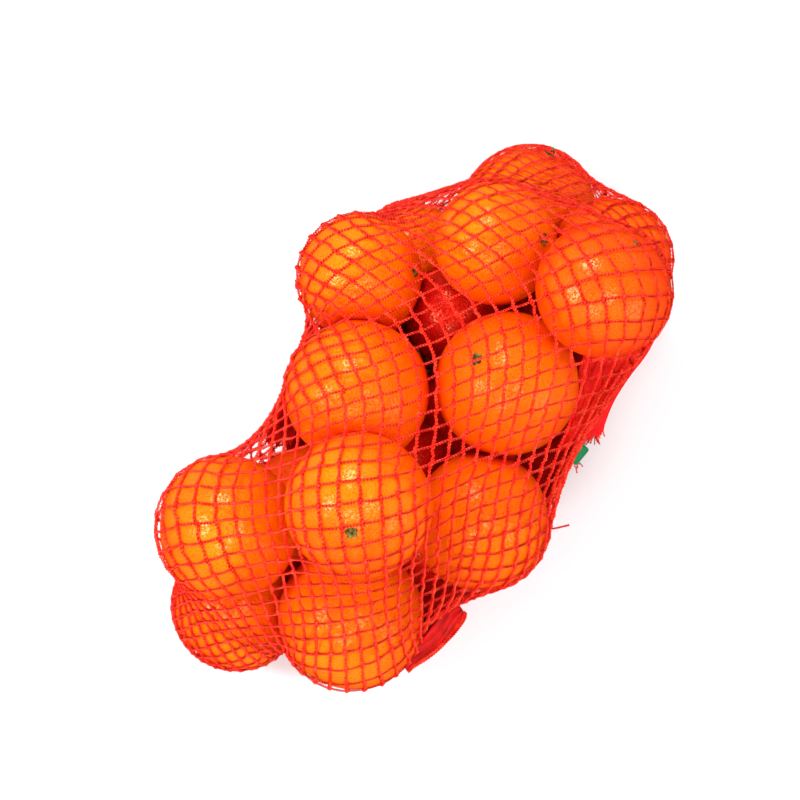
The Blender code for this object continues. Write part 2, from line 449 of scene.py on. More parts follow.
# %% [markdown]
# ## The skin that the net is laid on
#
# The frame's lumpy solid is the true outside of the bag, so its skin is where the net starts.
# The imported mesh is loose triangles. A merged copy of its points gives each one its
# neighbours, and from those the normals, softened a little so that they turn evenly over the
# dips between two oranges.

# %% Read the skin
NORMAL_ROUNDS = 3


def merged_skin():
    """The skin's points, triangles, edges and softened outward normals."""
    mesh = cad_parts["filled_net"].data
    loose = np.empty(len(mesh.vertices) * 3)
    mesh.vertices.foreach_get("co", loose)
    mesh.calc_loop_triangles()
    corners = np.empty(len(mesh.loop_triangles) * 3, int)
    mesh.loop_triangles.foreach_get("vertices", corners)
    key = np.round(loose.reshape(-1, 3) / (0.001 * MM)).astype(int)
    _, first, merged = np.unique(key, axis=0, return_index=True, return_inverse=True)
    points = loose.reshape(-1, 3)[first]
    triangles = merged.reshape(-1)[corners].reshape(-1, 3)
    edges = np.unique(np.sort(triangles[:, [0, 1, 1, 2, 2, 0]].reshape(-1, 2), axis=1), axis=0)
    a, b, c = (points[triangles[:, n]] for n in range(3))
    normals = gathered(triangles.ravel(), np.repeat(np.cross(b - a, c - a), 3, axis=0),
                       len(points))
    for _ in range(NORMAL_ROUNDS):
        both = np.concatenate([edges, edges[:, ::-1]])
        normals = normals + gathered(both[:, 0], normals[both[:, 1]], len(points)) / 3
    return points, triangles, edges, unit(normals)


def gathered(index, vectors, count):
    """The sum of the vectors that share each index."""
    return np.stack([np.bincount(index, vectors[:, n], count) for n in range(3)], -1)


skin, skin_triangles, skin_edges, skin_normals = merged_skin()
print("skin:", len(skin), "points,", len(skin_triangles), "triangles")

# %% [markdown]
# ## Laying the net
#
# A bag's chains don't run straight: they swing round as the net is pulled and twisted, and
# its meshes lean. So each shown orange has two directions on plan, one for the chains that
# cross it and one for the links, and between oranges both are weighted means. Carried over
# the skin, they say how fast two numbers should grow from point to point: one counts chains
# across, the other stitches along. No pair of numbers fits everywhere on a round thing, so
# least squares finds the nearest. This upper sheet ends where the bag turns under.

# %% The lay of the chains
# x and y in mm, then the directions of the chains and of the links in degrees
LAYS = (
    (124, 19, 108, -10),
    (68, 52, 105, -10),
    (-130, 5, 68, -32),
    (132, -28, 75, -15),
    (42, 65, 105, -8),
    (100, 23, 92, -22),
    (-96, -44, 52, -40),
    (-15, -63, 52, -38),
    (-101, 34, 42, -45),
    (-5, 28, 48, -42),
    (48, -28, 40, -38),
    (116, -35, 48, -42),
    (-49, -10, 44, -47),
    (95, -75, 15, -60),
    (140, -55, 30, -60),
    (60, -70, 20, -60),
    (160, 20, 60, -30),
)
LAY_REACH = 26 * MM
# x and y in mm along the crowded stream of chains from the +X end round to the neck
STREAM = ((108, 57), (127, 42), (143, 15), (153, -10), (156, -34), (135, -64), (100, -75),
          (70, -78))
STREAM_REACH = 13 * MM
CROWDING = 0.75
UNDER = -0.8                 # normals steeper than this look at the table
CHAIN_SPACING = 7.1 * MM     # from chain to chain along a link, before it is drawn tight
STITCH = 2.7 * MM            # a third of a mesh along a chain
LINK_EVERY = 3
FIT_ROUNDS = 600

lay_rows = np.array(LAYS, float)


def lays_at(points):
    """The two directions in radians: the mean of all the lays, each weighted by exp of
    minus its squared distance on plan over twice the reach squared."""
    gap = points[:, None, :2] - lay_rows[None, :, :2] * MM
    squared = (gap ** 2).sum(-1)
    weight = np.exp(-squared / (2 * LAY_REACH ** 2)) + 0.001 / (1 + squared / 0.1 ** 2)
    mean = (weight[..., None] * lay_rows[:, 2:]).sum(1) / weight.sum(1, keepdims=True)
    return np.radians(mean).T


def crowding_at(points):
    """How many times closer the chains lie: one, and more within reach of the stream."""
    corners = np.array(STREAM, float) * MM
    t = np.linspace(0, 1, 9)[:, None, None]
    line = (corners[:-1] * (1 - t) + corners[1:] * t).reshape(-1, 2)
    squared = ((points[:, None, :2] - line) ** 2).sum(-1).min(1)
    return 1 + CROWDING * np.exp(-squared / (2 * STREAM_REACH ** 2))


def tipped(flat, normals):
    """Flat vectors turned with the shortest turn that takes straight up to the normal."""
    share = (flat * normals).sum(1) / np.maximum(1 + normals[:, 2], 0.05)
    return flat - share[:, None] * (normals + UP)


def fitted(slopes, weights):
    """The number per skin point whose steps along the edges come nearest to the slopes:
    weighted least squares, solved by conjugate gradients."""
    count = len(skin)
    a, b = skin_edges[:, 0], skin_edges[:, 1]

    def spread(steps):
        return np.bincount(b, weights * steps, count) - np.bincount(a, weights * steps, count)

    value = np.zeros(count)
    left = spread(slopes)
    way = left.copy()
    size = left @ left
    for _ in range(FIT_ROUNDS):
        pull = spread(way[b] - way[a])
        stride = size / (way @ pull + TINY)
        value += stride * way
        left -= stride * pull
        new_size = left @ left
        if new_size < 1e-18:
            break
        way = left + new_size / size * way
        size = new_size
    return value - value.mean()


def upper_numbers():
    """The two numbers at each skin point, in metres across and along the chains.

    With unit vectors c along the chains and k along the links, the across number grows
    by (k - (k.c) c) / (1 - (k.c) squared) a metre, and the along number by the same
    with c and k changed over, so a mesh may lean.
    """
    level = np.zeros(len(skin))
    chain, link = (tipped(np.stack([np.cos(lay), np.sin(lay), level], -1), skin_normals)
                   for lay in lays_at(skin))
    lean = (chain * link).sum(1, keepdims=True)
    across = (link - lean * chain) / (1 - lean ** 2) * crowding_at(skin)[:, None]
    along = (chain - lean * link) / (1 - lean ** 2)
    a, b = skin_edges[:, 0], skin_edges[:, 1]
    edge = skin[b] - skin[a]
    lowest = np.minimum(skin_normals[a, 2], skin_normals[b, 2])
    weights = 0.15 + 0.85 * np.clip((lowest - UNDER) / 0.6, 0, 1)
    weights = np.where(lowest > UNDER, weights, 0)
    return tuple(fitted(((way[a] + way[b]) / 2 * edge).sum(1), weights)
                 for way in (across, along))


# %% [markdown]
# ## Knots of the net
#
# The net's knots sit where both numbers are whole. For each triangle of the skin, the whole
# pairs near its middle are tried, and a pair that falls inside it gives a knot at that place.
# Neighbours along a chain are joined, and the chains are joined across in every third row.
# Under the bag the net lies nearly flat, so a second sheet takes its two numbers straight
# from the plan. It reaches a little way up past the edge of the first.


# %% Knots, stitches and links
def cross_2d(p, q):
    """The flat cross product."""
    return p[..., 0] * q[..., 1] - p[..., 1] * q[..., 0]


class Net:
    """A sheet of netting: knots in a table of chains and rows, stitches and links."""

    def __init__(self, across, along, wanted, span=5):
        numbers = np.stack([across / CHAIN_SPACING, along / STITCH], -1)
        corner = numbers[skin_triangles]
        near = np.arange(-span, span + 1)
        nearby = np.stack(np.meshgrid(near, near, indexing="ij"), -1).reshape(-1, 2)
        tried = np.round(corner.mean(1)).astype(int)[:, None] + nearby
        a, b, c = (corner[:, n][:, None] for n in range(3))
        whole = cross_2d(b - a, c - a)
        share_b = cross_2d(tried - a, c - a) / np.where(whole > TINY, whole, 1)
        share_c = cross_2d(b - a, tried - a) / np.where(whole > TINY, whole, 1)
        shares = np.stack([1 - share_b - share_c, share_b, share_c], -1)
        inside = (shares >= 0).all(-1) & (whole > TINY)
        inside &= wanted[skin_triangles].all(1)[:, None]
        rows, columns = np.nonzero(inside)
        corners = skin_triangles[rows]
        share = shares[rows, columns][..., None]
        grid, first = np.unique(tried[rows, columns], axis=0, return_index=True)
        self.knots = (skin[corners] * share).sum(1)[first]
        self.normals = unit((skin_normals[corners] * share).sum(1)[first])
        grid = grid - grid.min(0) + 1
        self.table = np.full(grid.max(0) + 2, -1)
        self.table[grid[:, 0], grid[:, 1]] = np.arange(len(grid))
        self.behind = self.table[grid[:, 0], grid[:, 1] - 1]
        self.ahead = self.table[grid[:, 0], grid[:, 1] + 1]
        self.rung = grid[:, 1] % LINK_EVERY == 0
        self.stitches = self.joined_to(self.ahead)
        self.links = self.joined_to(np.where(self.rung, self.table[grid[:, 0] + 1, grid[:, 1]],
                                             -1))

    @staticmethod
    def joined_to(other):
        """Pairs of each knot and its other, where there is one."""
        own = np.flatnonzero(other >= 0)
        return np.stack([own, other[own]], -1)

    def room(self):
        """How much of a full stitch each knot's shortest stitch has, from 0 to 1."""
        a, b = self.stitches.T
        length = np.linalg.norm(self.knots[b] - self.knots[a], axis=1)
        shortest = np.full(len(self.knots), STITCH_REST)
        np.minimum.at(shortest, a, length)
        np.minimum.at(shortest, b, length)
        return shortest / STITCH_REST

    def runs(self):
        """Every unbroken run of knots along a chain."""
        found = []
        for column in self.table:
            for stretch in np.split(column, np.flatnonzero(column < 0)):
                run = stretch[stretch >= 0]
                if len(run) > 2:
                    found.append(run)
        return found


FLAT_LAY = math.radians(50)
upper = Net(*upper_numbers(), skin_normals[:, 2] > UNDER)
lower = Net(skin[:, 1] * math.cos(FLAT_LAY) - skin[:, 0] * math.sin(FLAT_LAY),
            skin[:, 0] * math.cos(FLAT_LAY) + skin[:, 1] * math.sin(FLAT_LAY),
            skin_normals[:, 2] < -0.45)
nets = {"upper": upper, "lower": lower}
for label, net in nets.items():
    print(label, "net:", len(net.knots), "knots,", len(net.links), "links")

# %% [markdown]
# ## Drawing the net tight
#
# Each stitch and link is a short spring that pulls hard when it is too long and hardly pushes
# when it is too short, since yarn goes slack. A chain also straightens a little towards the
# middle of its two neighbours. In every round all the knots move, then any knot that has got
# into an orange is put back on its surface, and any below the table is lifted.

# %% Relax the knots
STITCH_REST = 2.8 * MM
LINK_REST = 8.4 * MM
YARN_OFF = 0.9 * MM          # from the peel to the middle of a yarn
TABLE_OFF = 1.1 * MM
TIGHTEN_ROUNDS = 400
PULL, PUSH_STITCH, PUSH_LINK, STRIDE, STRAIGHTEN = 0.9, 0.02, 0.03, 1.3, 0.12
HOLLOWS = ((-45, 125, 68),)  # the waist on +Y, where the bag is drawn in


def pushed_out(places, gap):
    """Places inside an orange, or nearer to it than the gap, moved straight out to it."""
    for centre, radius in zip(centres, radii):
        off = places - centre
        away = np.sqrt((off ** 2).sum(-1, keepdims=True))
        reach = centre + off / np.maximum(away, TINY) * (radius + gap)
        places = np.where(away < radius + gap, reach, places)
    return places


def draw_tight(net):
    """Moves the net's knots through all the rounds."""
    count = len(net.knots)
    a = np.concatenate([net.stitches[:, 0], net.links[:, 0]])
    b = np.concatenate([net.stitches[:, 1], net.links[:, 1]])
    sizes = (len(net.stitches), len(net.links))
    rest = np.repeat((STITCH_REST, LINK_REST), sizes)
    push = np.repeat((PUSH_STITCH, PUSH_LINK), sizes)
    free = ((net.behind >= 0) & (net.ahead >= 0))[:, None]
    share = STRIDE / np.maximum(np.bincount(np.concatenate([a, b]), minlength=count), 1)
    places = net.knots
    for _ in range(TIGHTEN_ROUNDS):
        gap = places[b] - places[a]
        length = np.sqrt((gap ** 2).sum(1))
        stretch = (length - rest) / np.maximum(length, TINY)
        move = gap * (np.where(stretch > 0, PULL, push) * stretch / 2)[:, None]
        new = places + share[:, None] * (gathered(a, move, count) - gathered(b, move, count))
        new += STRAIGHTEN * ((places[net.behind] + places[net.ahead]) / 2 - places)
        new = pushed_out(new, YARN_OFF)
        for x, y, radius in np.array(HOLLOWS) * MM:
            off = new[:, :2] - (x, y)
            away = np.sqrt((off ** 2).sum(1, keepdims=True))
            new[:, :2] = np.where(away < radius, (x, y) + off / away * radius, new[:, :2])
        new[:, 2] = np.maximum(new[:, 2], TABLE_OFF)
        places = np.where(free, new, places)
    places[:, 2] = np.maximum(places[:, 2], TABLE_OFF)
    net.knots = places


JITTER = 0.38 * MM
rng = np.random.default_rng(11)
for net in nets.values():
    draw_tight(net)
    nudge = rng.normal(size=net.knots.shape) * JITTER
    nudge -= net.normals * (nudge * net.normals).sum(1, keepdims=True)
    nudge *= net.room()[:, None]
    net.knots = pushed_out(net.knots + nudge, YARN_OFF)
    net.knots[:, 2] = np.maximum(net.knots[:, 2], TABLE_OFF)

# %% [markdown]
# ## Net plastic
#
# The yarn is red plastic tape, drawn thin and twisted. It is shiny along its edges and not quite
# even in colour.


# %% The yarn's finish
def net_material(name, stops, scale, painted_ticks, shine):
    """Red plastic whose colour wanders between the stops in patches of a scale, and swings
    by the ticks, a sine that repeats at each half turn of the twist. The patches are the
    plastic's own uneven colour; the swing is painted shade towards the dark stop and painted
    highlight towards the pale stop."""
    material, add, link, principled = shader(name)
    place = add("ShaderNodeTexCoord")
    streaks = add("ShaderNodeTexNoise", scale=scale, detail=2.0)
    halves = add("ShaderNodeAttribute", attribute_name="half_turns")
    angle = add("ShaderNodeMath", operation="MULTIPLY")
    angle.inputs[1].default_value = 2 * math.pi
    sine = add("ShaderNodeMath", operation="SINE")
    swing = add("ShaderNodeMath", operation="MULTIPLY_ADD")
    swing.inputs[1].default_value = painted_ticks
    tint = add("ShaderNodeValToRGB")
    ramp(tint, stops)
    grain = add("ShaderNodeTexNoise", scale=2600.0, detail=1.0)
    bump = add("ShaderNodeBump", strength=0.25, distance=0.0001)
    link(place.outputs["Object"], streaks.inputs["Vector"])
    link(place.outputs["Object"], grain.inputs["Vector"])
    link(halves.outputs["Fac"], angle.inputs[0])
    link(angle.outputs["Value"], sine.inputs[0])
    link(sine.outputs["Value"], swing.inputs[0])
    link(streaks.outputs["Fac"], swing.inputs[2])
    link(swing.outputs["Value"], tint.inputs["Fac"])
    link(tint.outputs["Color"], principled.inputs["Base Color"])
    link(grain.outputs["Fac"], bump.inputs["Height"])
    link(bump.outputs["Normal"], principled.inputs["Normal"])
    principled.inputs["Roughness"].default_value = 0.35
    principled.inputs["Specular IOR Level"].default_value = shine
    principled.inputs["Specular Tint"].default_value = (1.0, 0.7, 0.65, 1.0)
    return material


# The chains' and links' pale, pinker stop is a painted highlight and their dark stop painted
# shade, swung along the twist; between them the plastic's own red wanders.
chain_plastic = net_material("net_chains", ((0.3, (0.66, 0.003, 0.002)),
                                            (0.5, (0.96, 0.018, 0.004)),
                                            (0.75, (1.00, 0.085, 0.030))), 260.0, 0.12, 0.4)
# The links are the same plastic as the chains, painted darker as painted shade, and their
# painted shade and highlight swing more.
shaded_link_plastic = net_material("net_links_shaded", ((0.3, (0.40, 0.002, 0.001)),
                                          (0.5, (0.76, 0.008, 0.002)),
                                          (0.75, (1.00, 0.075, 0.035))), 260.0, 0.22, 0.4)
neck_plastic = net_material("gathered_neck", ((0.35, (0.66, 0.002, 0.003)),
                                              (0.65, (0.98, 0.007, 0.008))), 120.0, 0.0, 0.12)
# The seam's finish is the neck's red plastic painted darker, as painted shade.
shaded_seam_plastic = net_material("gathered_seam_shaded", ((0.35, (0.32, 0.001, 0.001)),
                                              (0.65, (0.62, 0.004, 0.004))), 90.0, 0.0, 0.20)
# The deep finish is painted deep shade: the same red plastic painted darker still, for the dark
# backing sheets under the net.
shade_backing_plastic = net_material("gathered_shade_backing", ((0.35, (0.22, 0.002, 0.001)),
                                              (0.65, (0.48, 0.004, 0.003))), 120.0, 0.0, 0.12)

# %% [markdown]
# ## Chains and links
#
# A chain is one path through all its knots in turn. It swells a little at each knot that
# holds a link, where the link's yarn is caught in. A link is a short path from knot to knot
# that bows slightly off the peel. The pieces are split so that none grows too large.

# %% Build the chains and links
CHAIN_PLY, CHAIN_TURN, CHAIN_STEPS, CHAIN_SIDES = 0.52 * MM, 4.5, 4, 3
KNOT_SWELL = 0.45
THINNING = 0.9               # crowded chains are drawn out thinner, by this power
LINK_PLY, LINK_TURN, LINK_STEPS, LINK_SIDES = 0.46 * MM, 4.5, 15, 3
LINK_BOW = 0.10 * MM
LINK_SAG = 0.55 * MM
NET_PARTS = {"upper": (2, 3), "lower": (1, 1)}


def chain_yarn(net, run):
    """Twisted yarn through one run of knots."""
    path = rounded(net.knots[run], CHAIN_STEPS)
    outwards = rounded(net.normals[run], CHAIN_STEPS)
    thin = crowding_at(net.knots[run]) ** -THINNING
    caught = 1 + KNOT_SWELL * net.rung[run]
    swell = rounded((thin * caught)[:, None] * np.ones(3), CHAIN_STEPS)[:, 0]
    return twisted(path[None], outwards[None], CHAIN_PLY, CHAIN_TURN, CHAIN_SIDES,
                   swell[None])


def link_yarns(net, pairs):
    """Twisted yarn along many links at once."""
    t = np.linspace(0, 1, LINK_STEPS)[None, :, None]
    a, b = net.knots[pairs[:, 0]][:, None], net.knots[pairs[:, 1]][:, None]
    normal = unit(net.normals[pairs].sum(1))[:, None]
    sag = LINK_SAG * rng.uniform(-0.4, 1.6, (len(pairs), 1, 1))
    aside = unit(np.cross(b - a, normal)) * sag + normal * LINK_BOW
    path = pushed_out(a + (b - a) * t + aside * 4 * t * (1 - t), YARN_OFF * 0.8)
    outwards = np.broadcast_to(normal, path.shape)
    return twisted(path, outwards, LINK_PLY, LINK_TURN, LINK_SIDES)


def shared_out(things, parts):
    """Things cut into parts of nearly the same length."""
    marks = [part * len(things) // parts for part in range(parts + 1)]
    return [things[start:end] for start, end in zip(marks[:-1], marks[1:])]


for label, net in nets.items():
    for part, share in enumerate(shared_out(net.runs(), NET_PARTS[label][0])):
        yarn_piece(f"{label}_chains_{part + 1}", joined([chain_yarn(net, run) for run in share]),
                   chain_plastic, "filled_net")
    for part, share in enumerate(shared_out(net.links, NET_PARTS[label][1])):
        yarn_piece(f"{label}_links_{part + 1}", link_yarns(net, share), shaded_link_plastic,
                   "filled_net")
for piece in oranges:
    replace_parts(piece, "filled_net")

# %% [markdown]
# ## Gathered ends
#
# At its neck and at its seam the net is squeezed so tight that its yarns lie side by side.
# There it looks like a ribbed red sheet. Each is a surface between two curves, an inner one
# against the fruit and an outer one that hangs free, with ribs that wander a little, and the
# end is torn to a different length at each rib.

# %% The gathered neck and the folded seam
SHEET_THICKNESS = 1.0 * MM


def curve(nodes_mm, count):
    """A smooth curve through nodes in mm, with points evenly spread by number."""
    path = rounded(np.array(nodes_mm, float) * MM, 24)
    pick = np.linspace(0, len(path) - 1, count)
    low = np.minimum(pick.astype(int), len(path) - 2)
    share = (pick - low)[:, None]
    return path[low] * (1 - share) + path[low + 1] * share


def wander(rng, count, waves=5):
    """A smooth random line about zero, roughly within one, for positions from 0 to 1."""
    t = np.linspace(0, 1, count)
    total = np.zeros(count)
    for wave in range(1, waves + 1):
        total += rng.normal() / wave * np.sin(2 * np.pi * (wave * t / 2 + rng.random()))
    return total


class Gathers:
    """A ribbed surface between two curves: a runs along it and b across it, both 0 to 1."""

    def __init__(self, inner, outer, ribs, depth, bulge, torn, rng, size):
        along, across = size
        a = np.linspace(0, 1, along)[:, None]
        b = np.linspace(0, 1, across)[None, :]
        rib = b * ribs + 0.35 * wander(rng, along)[:, None]
        tear = torn * np.interp(rib, np.arange(-2, ribs + 3), rng.random(ribs + 5))
        reach = np.clip(a * (1 - tear), 0, 1)
        start, end = curve(inner, 400), curve(outer, 400)
        self.flat = (self.sampled(start, reach) * (1 - b[..., None])
                     + self.sampled(end, reach) * b[..., None])
        slope_a = np.gradient(self.flat, axis=0)
        slope_b = np.gradient(self.flat, axis=1)
        self.normal = unit(np.cross(slope_a, slope_b))
        if self.normal[..., 2].mean() < 0:
            self.normal = -self.normal
        height = depth * np.abs(np.cos(np.pi * rib)) + bulge * np.sin(np.pi * b)
        self.face = pushed_out(self.flat + self.normal * height[..., None], 0.5 * MM)

    @staticmethod
    def sampled(line, t):
        """The points of a curve at positions t from 0 to 1."""
        pick = t * (len(line) - 1)
        low = np.minimum(pick.astype(int), len(line) - 2)
        share = (pick - low)[..., None]
        return line[low] * (1 - share) + line[low + 1] * share

    def solid(self):
        """Points and faces of the sheet with its thickness, closed all round."""
        back = self.face - self.normal * SHEET_THICKNESS
        along, across = self.face.shape[:2]
        front_id = np.arange(along * across).reshape(along, across)
        quads = np.stack([front_id[:-1, :-1], front_id[1:, :-1], front_id[1:, 1:],
                          front_id[:-1, 1:]], -1).reshape(-1, 4)
        rim = np.concatenate([front_id[:, 0], front_id[-1, 1:], front_id[-2::-1, -1],
                              front_id[0, -2:0:-1]])
        around = np.roll(rim, -1)
        edge = np.stack([rim, rim + along * across, around + along * across, around], -1)
        under = quads[:, ::-1] + along * across
        points = np.concatenate([self.face.reshape(-1, 3), back.reshape(-1, 3)])
        return points, [np.concatenate([quads, under, edge])]

    def lines(self, tracks, lift, end):
        """Paths and their normals along tracks (paths, steps): b at even steps of a, which
        runs from 0 to an end."""
        steps = tracks.shape[1]
        row = np.linspace(0, (self.face.shape[0] - 1) * end, steps)[None].round().astype(int)
        column = (np.clip(tracks, 0, 1) * (self.face.shape[1] - 1)).round().astype(int)
        row = np.broadcast_to(row, column.shape)
        normal = self.normal[row, column]
        return self.face[row, column] + normal * lift, normal


rng = np.random.default_rng(23)
# The sheets named with under, and the folds, are dark backing sheets put in the gaps under the
# net where there is deep shade: their dark red is painted shade.
# name: inner curve and outer curve (x, y, z in mm), ribs, rib depth and bulge in mm, tear
GATHERS = {
    "neck": (((96, -45, 100), (77, -52, 99), (65, -61, 98), (55, -66, 97), (44, -69, 96),
              (36, -71, 94)),
             ((131, -67, 92), (109, -73, 90), (92, -74, 86), (77, -76, 82), (65, -80, 78),
              (60, -83, 76)),
             9, 0.5, 1.8, 0.12),
    "neck_under": (((96, -40, 62), (70, -42, 62), (48, -50, 62), (28, -54, 62), (10, -62, 60),
                    (-6, -72, 58)),
                   ((104, -68, 80), (76, -72, 76), (52, -74, 74), (32, -79, 74),
                    (14, -86, 74), (-2, -92, 72)),
                   30, 0.7, 0.5, 0.02),
    "seam": (((-98, -80, 68), (-90, -79, 71), (-79, -79.5, 72), (-68, -79, 72),
              (-59, -79, 71), (-54, -82, 71)),
             ((-99, -84.5, 62), (-95.4, -84.8, 62), (-87.6, -87.7, 63), (-79.8, -89.8, 64),
              (-72.4, -90.5, 65), (-65.7, -90.5, 66), (-59.2, -90, 67.5), (-55.5, -88, 69)),
             3, 0.9, 1.4, 0.06),
    "seam_under": (((-92, -64, 52), (-76, -58, 52), (-60, -58, 52), (-46, -64, 52),
                    (-34, -74, 52)),
                   ((-98, -79, 62), (-82, -82, 64), (-64, -82.5, 66), (-50, -83, 68),
                    (-38, -86, 72)),
                   24, 0.7, 0.5, 0.02),
    "fold_1": (((62, -22, 58), (76, -20, 60), (94, -16, 58)),
               ((62, 14, 58), (78, 18, 60), (96, 18, 58)), 12, 0.7, 0.5, 0.02),
    "fold_2": (((-114, -16, 44), (-100, -19, 46), (-86, -16, 44)),
               ((-114, 6, 44), (-100, 9, 46), (-86, 5, 44)), 10, 0.7, 0.5, 0.02),
    "fold_3": (((18, 14, 30), (34, 22, 32), (48, 32, 30)),
               ((10, 30, 30), (26, 40, 32), (42, 48, 30)), 10, 0.7, 0.5, 0.02),
    "fold_4": (((-23, 47, 34), (-36, 42, 36), (-52, 36, 36)),
               ((-25, 56, 36), (-43, 54, 38), (-60, 46, 38)), 14, 1.0, 0.5, 0.20),
    "fold_5": (((-34, 36, 22), (-42, 30, 22), (-54, 24, 22)),
               ((-32, 46, 22), (-44, 41, 22), (-60, 34, 22)), 10, 0.7, 0.5, 0.02),
}
SHEET_NODES = {"neck": "neck_tail", "seam": "seam_strip"}
FINE, COARSE = (150, 96), (60, 84)
SHEET_FINISH = {"neck": neck_plastic, "seam": shaded_seam_plastic, "fold_4": shaded_seam_plastic}
gathers = {}
for label, (inner, outer, ribs, depth, bulge, torn) in GATHERS.items():
    size = FINE if label in SHEET_NODES else COARSE
    gathers[label] = Gathers(inner, outer, ribs, depth * MM, bulge * MM, torn, rng, size)
    sheet = new_piece(f"{label}_gathers", *gathers[label].solid(),
                      SHEET_FINISH.get(label, shade_backing_plastic), "net_plastic")
    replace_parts(sheet, SHEET_NODES.get(label, "filled_net"))

# %% [markdown]
# ## Yarns over the gathers
#
# On top of the ribbed sheets single yarns still show. On the neck they keep the net's
# pattern, squeezed: each swings from one side to the other and meets its neighbours in turn.

# %% Loose yarns
NECK_YARNS, NECK_SHARE, NECK_END = 8, 0.7, 0.72
SEAM_YARNS, SEAM_SHARE = 3, 0.3


def squeezed_tracks(yarns, meshes, steps, spread):
    """Tracks side by side that swing by a sine, every second one the other way."""
    t = np.linspace(0, 1, steps)[None]
    index = np.arange(yarns)[:, None]
    swing = spread * np.sin(np.pi * meshes * t ** 0.8 + np.pi * index) * (1 - 0.5 * t)
    return (index + 0.5 + swing) / yarns


def smoothed(paths, rounds=6):
    """Paths whose inner points are averaged with their neighbours."""
    for _ in range(rounds):
        middle = (paths[:, :-2] + 2 * paths[:, 1:-1] + paths[:, 2:]) / 4
        paths = np.concatenate([paths[:, :1], middle, paths[:, -1:]], axis=1)
    return paths


def yarns_on(sheet, tracks, lift, end):
    """Chain yarn along tracks over a gathered sheet."""
    paths, normals = sheet.lines(tracks, lift, end)
    return twisted(smoothed(paths), normals, CHAIN_PLY * 0.85, CHAIN_TURN, CHAIN_SIDES)


neck_tracks = squeezed_tracks(NECK_YARNS, 8, 130, 0.42) * NECK_SHARE
yarn_piece("neck_yarns", yarns_on(gathers["neck"], neck_tracks, 0.5 * MM, NECK_END),
           chain_plastic, "neck_tail")
seam_tracks = 1 - squeezed_tracks(SEAM_YARNS, 2, 80, 0.2) * SEAM_SHARE
yarn_piece("seam_yarns", yarns_on(gathers["seam"], seam_tracks, 0.2 * MM, 1.0),
           chain_plastic, "seam_strip")

# %% [markdown]
# ## Frayed ends
#
# Where the net was cut, ends of yarn stick out. They are short tapering strands: some at the
# torn end of the neck, some by the clip, and one longer one that stands off the side.


# %% Frays
def fray(starts, ways, lengths, rng, steps=9):
    """Strands from starts along ways, bent by a random sideways curl that grows with the
    square of the distance."""
    t = np.linspace(0, 1, steps)[None, :, None]
    curl = rng.normal(size=(len(starts), 1, 3)) * 0.25
    reach = np.array(lengths)[:, None, None]
    path = starts[:, None] + reach * (ways[:, None] * t + curl * t ** 2)
    outwards = np.broadcast_to(UP, path.shape)
    return twisted(path, outwards, 0.26 * MM, 5.4, 3)


torn_edge = gathers["neck"].face[-1, 30:96:3]
ways = unit(np.array((-0.75, -0.62, -0.15)) + rng.normal(size=torn_edge.shape) * 0.35)
lengths = rng.uniform(1.0, 5.0, len(torn_edge)) * MM
near_clip = np.array((40.0, -80.0, 96.0)) * MM + rng.normal(size=(12, 3)) * 1.6 * MM
clip_ways = unit(np.array((-0.2, -1.0, 0.0)) + rng.normal(size=near_clip.shape) * 0.6)
frays = joined([
    fray(torn_edge, ways, lengths, rng),
    fray(near_clip, clip_ways, rng.uniform(1.5, 4.0, len(near_clip)) * MM, rng),
])
STRAY = ((3, -90, 92), (6, -94, 92.5), (9, -96.5, 92.5), (13, -99.5, 92))
stray_path = curve(STRAY, 30)
stray = twisted(stray_path[None], np.broadcast_to(UP, (1, 30, 3)), 0.36 * MM, 4.5, 4)
yarn_piece("frays", frays, chain_plastic, "neck_tail")
yarn_piece("stray_yarn", stray, shaded_link_plastic, "filled_net")

# %% [markdown]
# ## Stem buttons
#
# Each orange keeps the dry button that its stem grew from: a small five-lobed star of old
# sepals round a knob. It is one patch of rings round the stem, its rim drawn in between the
# lobes, and its height follows the lobes up and rises again at the knob.

# %% Build the buttons
BUTTON_RINGS, BUTTON_SEGMENTS = 7, 30
BUTTON_RADIUS = 3.9 * MM
STALKS = {0: 4.2}            # orange number and the height of what is left of its stalk, in mm
SMALL_BUTTONS = {18: 0.55}   # orange number and its button's size over the usual


def button(k, rng):
    """Points of one stem button on orange k."""
    stem = stems[k]
    side, other = tangents(stem)
    t = (np.arange(BUTTON_RINGS) + 1)[:, None] / BUTTON_RINGS
    turn = np.linspace(0, 2 * np.pi, BUTTON_SEGMENTS, endpoint=False)[None, :]
    lobes = 0.62 + 0.38 * np.abs(np.cos(2.5 * (turn + rng.uniform(0, 6)))) ** 0.8
    size = BUTTON_RADIUS * SMALL_BUTTONS.get(k, 1.0)
    reach = size * rng.uniform(0.85, 1.1) * t * lobes
    knob = STALKS.get(k, 1.0) * np.exp(-(t / 0.36) ** 4)
    height = (0.25 + knob + 0.5 * t ** 2 * lobes) * MM * np.ones_like(turn)
    height[-1] -= 0.5 * MM
    sideways = np.cos(turn)[..., None] * side + np.sin(turn)[..., None] * other
    base = stem_bases[k]
    ring = base + reach[..., None] * sideways + height[..., None] * stem
    top = base + (STALKS.get(k, 1.0) + 0.25) * MM * stem
    return np.concatenate([[top], ring.reshape(-1, 3)])


def button_faces():
    """Triangles round the middle, then quads from ring to ring."""
    ring = np.arange(BUTTON_RINGS * BUTTON_SEGMENTS).reshape(BUTTON_RINGS, -1) + 1
    after = np.roll(ring, -1, axis=1)
    quads = np.stack([ring[:-1], ring[1:], after[1:], after[:-1]], -1).reshape(-1, 4)
    return quads, np.stack([np.zeros(BUTTON_SEGMENTS, int), ring[0], after[0]], -1)


